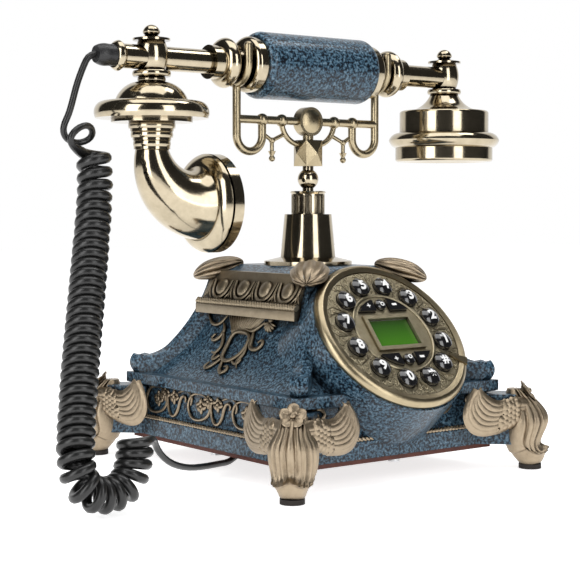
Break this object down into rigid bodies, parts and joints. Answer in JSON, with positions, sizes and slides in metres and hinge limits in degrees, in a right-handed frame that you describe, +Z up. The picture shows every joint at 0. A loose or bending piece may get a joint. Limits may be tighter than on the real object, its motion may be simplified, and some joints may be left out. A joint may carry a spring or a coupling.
{
  "type": "desk telephone",
  "caption": "Antique-style desk telephone with a pagoda base on winged feet, round push-button dial, fork cradle, horn handset and curly cord.",
  "frame": {"origin": "middle of the footprint on the table, under the column", "axes": "+Z up, -Y to the front where the dial leans, +X to the right where the receiver hangs"},
  "size_m": [0.322, 0.2014, 0.2311],
  "materials": {
    "blue_resin": "glossy cast resin, blue-grey with navy specks",
    "bottom_board": "matt red-brown",
    "steel": "plain steel",
    "foot_bronze": "cast resin with a champagne bronze coat and dark recesses",
    "pad_rubber": "matt",
    "antique_bronze": "polished antique bronze",
    "black_plastic": "satin",
    "cord_black": "satin",
    "circuit_board": "satin",
    "display": "greenish liquid crystal panel",
    "key_black": "glossy, white digits"
  },
  "bodies": {
    "base": {"base_housing": "blue_resin", "bottom_plate": "bottom_board", "bottom_screws": "steel", "hook_spring": "steel", "foot_front_left": "foot_bronze", "foot_front_right": "foot_bronze", "foot_back_left": "foot_bronze", "foot_back_right": "foot_bronze", "foot_pads": "pad_rubber", "column_body": "antique_bronze", "column_collar": "antique_bronze", "dial_bezel": "antique_bronze", "dial_plate": "antique_bronze", "hook_switch": "black_plastic", "line_jack": "black_plastic", "cord_gland": "black_plastic", "ringer": "black_plastic", "cord_upper_lead": "cord_black", "curly_cord": "cord_black", "cord_lower_lead": "cord_black", "main_board": "circuit_board", "key_board": "circuit_board", "lcd_panel": "display"},
    "handset": {"handset_grip": "blue_resin", "handset_tube": "antique_bronze", "grip_end_left": "antique_bronze", "grip_end_right": "antique_bronze", "post_left": "antique_bronze", "post_right": "antique_bronze", "finials": "antique_bronze", "mouthpiece_disc": "antique_bronze", "horn_elbow": "antique_bronze", "horn_bell": "antique_bronze", "microphone": "black_plastic", "receiver_cap": "antique_bronze", "ear_cap": "antique_bronze", "earphone": "black_plastic", "cord_boot": "cord_black"},
    "cradle": {"cradle_frame": "antique_bronze", "cradle_medallion": "antique_bronze", "cradle_stem": "antique_bronze"},
    "hook_lever": {"switch_lever": "steel"},
    "key_1_cap": {"key_1": "key_black"},
    "key_2_cap": {"key_2": "key_black"},
    "key_3_cap": {"key_3": "key_black"},
    "key_4_cap": {"key_4": "key_black"},
    "key_5_cap": {"key_5": "key_black"},
    "key_6_cap": {"key_6": "key_black"},
    "key_7_cap": {"key_7": "key_black"},
    "key_8_cap": {"key_8": "key_black"},
    "key_9_cap": {"key_9": "key_black"},
    "key_0_cap": {"key_0": "key_black"},
    "key_star_cap": {"key_star": "key_black"},
    "key_hash_cap": {"key_hash": "key_black"},
    "function_top_left_cap": {"function_top_left": "key_black"},
    "function_top_middle_cap": {"function_top_middle": "key_black"},
    "function_top_right_cap": {"function_top_right": "key_black"},
    "function_bottom_left_cap": {"function_bottom_left": "key_black"},
    "function_bottom_middle_cap": {"function_bottom_middle": "key_black"},
    "function_bottom_right_cap": {"function_bottom_right": "key_black"}
  },
  "joints": [
    {"name": "handset_lift", "type": "slide", "parent": "base", "child": "handset", "axis": [0, 0, 1], "range_m": [0, 0.06]},
    {"name": "hook_travel", "type": "slide", "parent": "base", "child": "cradle", "axis": [0, 0, 1], "range_m": [0, 0.004], "deforming": ["hook_spring"]},
    {"name": "lever_turn", "type": "hinge", "parent": "base", "child": "hook_lever", "pos_m": [-0.0105, 0, 0.08845], "axis": [0, -1, 0], "range_deg": [0, 14.2]},
    {"name": "key_1_press", "type": "slide", "parent": "base", "child": "key_1_cap", "axis": [0, 0.7615, -0.6481], "range_m": [0, 0.0015], "stiffness_N_per_m": 400, "springref_m": -0.001},
    {"name": "key_2_press", "type": "slide", "parent": "base", "child": "key_2_cap", "axis": [0, 0.7615, -0.6481], "range_m": [0, 0.0015], "stiffness_N_per_m": 400, "springref_m": -0.001},
    {"name": "key_3_press", "type": "slide", "parent": "base", "child": "key_3_cap", "axis": [0, 0.7615, -0.6481], "range_m": [0, 0.0015], "stiffness_N_per_m": 400, "springref_m": -0.001},
    {"name": "key_4_press", "type": "slide", "parent": "base", "child": "key_4_cap", "axis": [0, 0.7615, -0.6481], "range_m": [0, 0.0015], "stiffness_N_per_m": 400, "springref_m": -0.001},
    {"name": "key_5_press", "type": "slide", "parent": "base", "child": "key_5_cap", "axis": [0, 0.7615, -0.6481], "range_m": [0, 0.0015], "stiffness_N_per_m": 400, "springref_m": -0.001},
    {"name": "key_6_press", "type": "slide", "parent": "base", "child": "key_6_cap", "axis": [0, 0.7615, -0.6481], "range_m": [0, 0.0015], "stiffness_N_per_m": 400, "springref_m": -0.001},
    {"name": "key_7_press", "type": "slide", "parent": "base", "child": "key_7_cap", "axis": [0, 0.7615, -0.6481], "range_m": [0, 0.0015], "stiffness_N_per_m": 400, "springref_m": -0.001},
    {"name": "key_8_press", "type": "slide", "parent": "base", "child": "key_8_cap", "axis": [0, 0.7615, -0.6481], "range_m": [0, 0.0015], "stiffness_N_per_m": 400, "springref_m": -0.001},
    {"name": "key_9_press", "type": "slide", "parent": "base", "child": "key_9_cap", "axis": [0, 0.7615, -0.6481], "range_m": [0, 0.0015], "stiffness_N_per_m": 400, "springref_m": -0.001},
    {"name": "key_0_press", "type": "slide", "parent": "base", "child": "key_0_cap", "axis": [0, 0.7615, -0.6481], "range_m": [0, 0.0015], "stiffness_N_per_m": 400, "springref_m": -0.001},
    {"name": "key_star_press", "type": "slide", "parent": "base", "child": "key_star_cap", "axis": [0, 0.7615, -0.6481], "range_m": [0, 0.0015], "stiffness_N_per_m": 400, "springref_m": -0.001},
    {"name": "key_hash_press", "type": "slide", "parent": "base", "child": "key_hash_cap", "axis": [0, 0.7615, -0.6481], "range_m": [0, 0.0015], "stiffness_N_per_m": 400, "springref_m": -0.001},
    {"name": "function_top_left_press", "type": "slide", "parent": "base", "child": "function_top_left_cap", "axis": [0, 0.7615, -0.6481], "range_m": [0, 0.0015], "stiffness_N_per_m": 400, "springref_m": -0.001},
    {"name": "function_top_middle_press", "type": "slide", "parent": "base", "child": "function_top_middle_cap", "axis": [0, 0.7615, -0.6481], "range_m": [0, 0.0015], "stiffness_N_per_m": 400, "springref_m": -0.001},
    {"name": "function_top_right_press", "type": "slide", "parent": "base", "child": "function_top_right_cap", "axis": [0, 0.7615, -0.6481], "range_m": [0, 0.0015], "stiffness_N_per_m": 400, "springref_m": -0.001},
    {"name": "function_bottom_left_press", "type": "slide", "parent": "base", "child": "function_bottom_left_cap", "axis": [0, 0.7615, -0.6481], "range_m": [0, 0.0015], "stiffness_N_per_m": 400, "springref_m": -0.001},
    {"name": "function_bottom_middle_press", "type": "slide", "parent": "base", "child": "function_bottom_middle_cap", "axis": [0, 0.7615, -0.6481], "range_m": [0, 0.0015], "stiffness_N_per_m": 400, "springref_m": -0.001},
    {"name": "function_bottom_right_press", "type": "slide", "parent": "base", "child": "function_bottom_right_cap", "axis": [0, 0.7615, -0.6481], "range_m": [0, 0.0015], "stiffness_N_per_m": 400, "springref_m": -0.001}
  ],
  "couplings": [
    {"joint": "hook_travel", "follows": "handset_lift", "ratio": 0.066666},
    {"joint": "lever_turn", "follows": "handset_lift", "rad_per_m": 4.0724}
  ]
}
